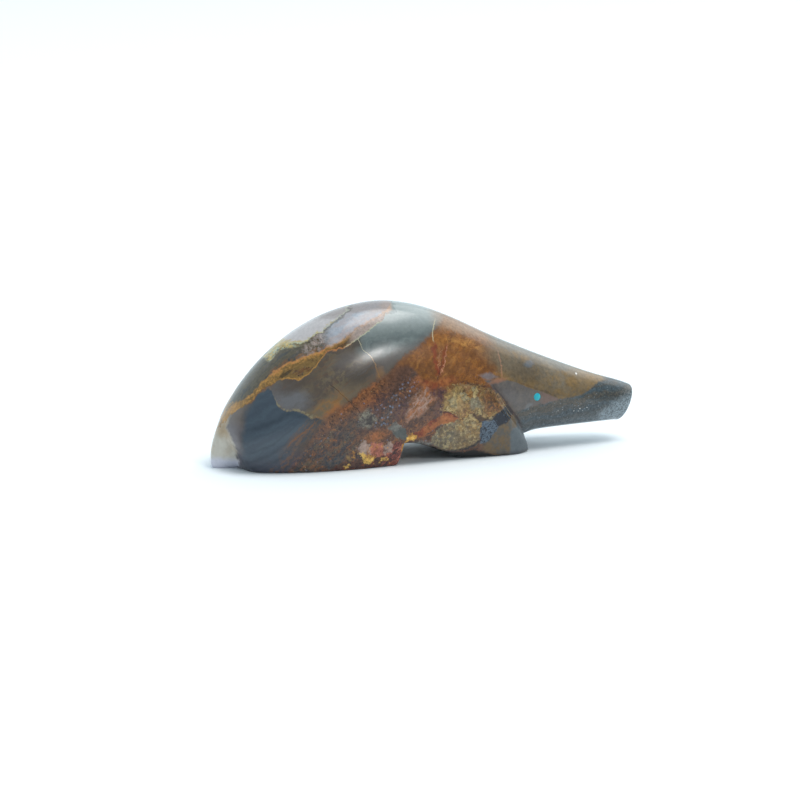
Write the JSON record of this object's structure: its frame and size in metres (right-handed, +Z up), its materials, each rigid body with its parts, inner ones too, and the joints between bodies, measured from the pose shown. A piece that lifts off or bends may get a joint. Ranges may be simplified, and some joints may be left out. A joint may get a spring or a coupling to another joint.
{
  "type": "stone animal carving",
  "caption": "Small polished stone carving of an anteater with a domed back, long tapering snout, arched underside and inlaid round eyes.",
  "frame": {"origin": "on the ground, under the middle of the whole part's box", "axes": "+X from the tail to the snout, +Y to the animal's left across the body, +Z up"},
  "size_m": [0.087, 0.023, 0.0307],
  "materials": {
    "banded_stone": "polished, banded grey and rust-brown",
    "turquoise_inlay": "satin turquoise"
  },
  "bodies": {
    "root": {"carving": "banded_stone", "eye_left": "turquoise_inlay", "eye_right": "turquoise_inlay"}
  },
  "joints": []
}
